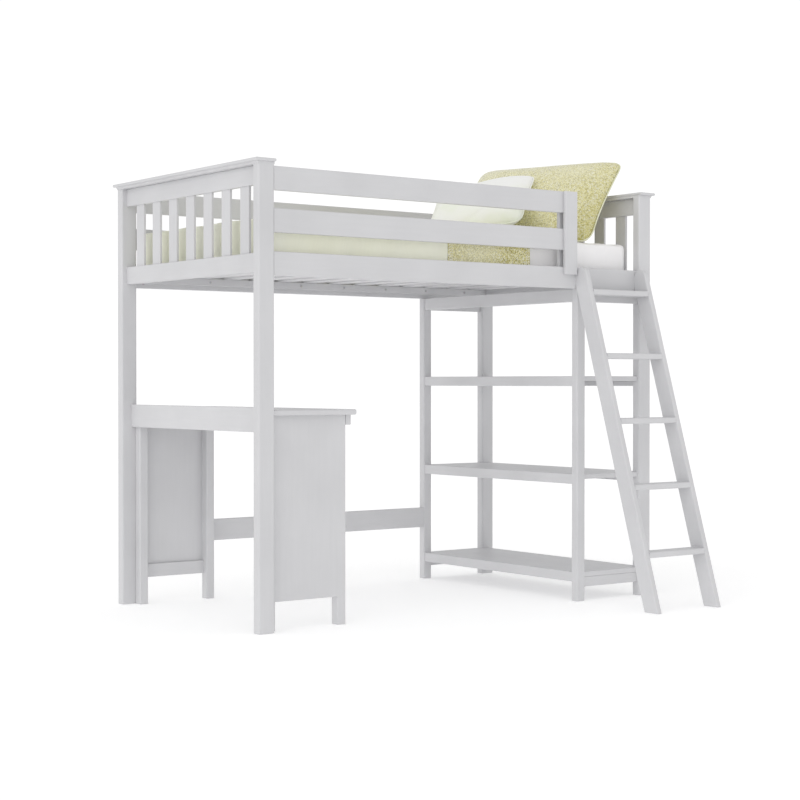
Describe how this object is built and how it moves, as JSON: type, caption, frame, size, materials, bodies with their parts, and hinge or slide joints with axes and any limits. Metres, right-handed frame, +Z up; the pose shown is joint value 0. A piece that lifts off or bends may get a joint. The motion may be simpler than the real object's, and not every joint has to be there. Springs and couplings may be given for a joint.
{
  "type": "loft_bed_with_desk",
  "caption": "White painted wooden loft bed with a desk under one end, an open bookcase under the other, a leaning ladder, guard rails, green bedding and a gold sequin cushion.",
  "frame": {"origin": "on the floor, under the middle of the overall box of the bed and its ladder", "axes": "+X along the bed from the desk end to the bookcase end, +Y from the ladder side to the wall side, +Z up"},
  "size_m": [2.11, 1.6554, 1.976],
  "materials": {
    "white_painted_wood": "satin white paint over solid pine, edges eased",
    "zinc_steel": "dull zinc plate",
    "mattress_ticking": "white cotton cover with a fine weave",
    "pale_green_cotton": "soft cotton, washed in pale yellow and green",
    "white_cotton": "plain cotton, very pale green white",
    "gold_sequin_cloth": "cloth set with small gold and olive sequins"
  },
  "bodies": {
    "bed": {"post_front_left": "white_painted_wood", "post_front_right": "white_painted_wood", "post_rear_left": "white_painted_wood", "post_rear_right": "white_painted_wood", "left_cap_rail": "white_painted_wood", "right_cap_rail": "white_painted_wood", "left_upper_rail": "white_painted_wood", "right_upper_rail": "white_painted_wood", "left_lower_rail": "white_painted_wood", "right_lower_rail": "white_painted_wood", "left_end_slats": "white_painted_wood", "right_end_slats": "white_painted_wood", "front_side_rail": "white_painted_wood", "rear_side_rail": "white_painted_wood", "front_ledger": "white_painted_wood", "rear_ledger": "white_painted_wood", "bed_slats": "white_painted_wood", "front_upper_guard": "white_painted_wood", "front_lower_guard": "white_painted_wood", "guard_stiles": "white_painted_wood", "rear_upper_guard": "white_painted_wood", "rear_lower_guard": "white_painted_wood", "ladder_stringer_left": "white_painted_wood", "ladder_stringer_right": "white_painted_wood", "ladder_tread_1": "white_painted_wood", "ladder_tread_2": "white_painted_wood", "ladder_tread_3": "white_painted_wood", "ladder_tread_4": "white_painted_wood", "ladder_tread_5": "white_painted_wood", "desk_top": "white_painted_wood", "desk_outer_apron": "white_painted_wood", "desk_inner_apron": "white_painted_wood", "desk_leg_front_outer": "white_painted_wood", "desk_leg_front_inner": "white_painted_wood", "desk_leg_rear_outer": "white_painted_wood", "desk_leg_rear_inner": "white_painted_wood", "desk_front_panel": "white_painted_wood", "desk_rear_panel": "white_painted_wood", "desk_front_rails": "white_painted_wood", "desk_rear_rails": "white_painted_wood", "rear_stretcher": "white_painted_wood", "bookcase_front_post": "white_painted_wood", "bookcase_rear_post": "white_painted_wood", "bookcase_shelf_lower": "white_painted_wood", "bookcase_shelf_middle": "white_painted_wood", "bookcase_shelf_upper": "white_painted_wood", "bookcase_shelf_edges": "white_painted_wood", "bookcase_shelf_bearers": "white_painted_wood", "bookcase_base_aprons": "white_painted_wood", "bookcase_top_rail": "white_painted_wood", "bookcase_front_top_rail": "white_painted_wood", "bookcase_rear_top_rail": "white_painted_wood", "frame_bolts": "zinc_steel", "barrel_nuts": "zinc_steel", "ledger_screws": "zinc_steel"},
    "mattress_set": {"mattress": "mattress_ticking", "duvet": "pale_green_cotton", "sequin_throw": "gold_sequin_cloth"},
    "gold_cushion": {"pillow_gold": "gold_sequin_cloth"},
    "white_cushion": {"pillow_white": "white_cotton"}
  },
  "joints": [
    {"name": "mattress_lift", "type": "slide", "parent": "bed", "child": "mattress_set", "axis": [0, 0, 1], "range_m": [0, 0.5]},
    {"name": "gold_cushion_lift", "type": "slide", "parent": "mattress_set", "child": "gold_cushion", "axis": [0, 0, 1], "range_m": [0, 0.5]},
    {"name": "white_cushion_lift", "type": "slide", "parent": "gold_cushion", "child": "white_cushion", "axis": [0, 0, 1], "range_m": [0, 0.4]}
  ]
}
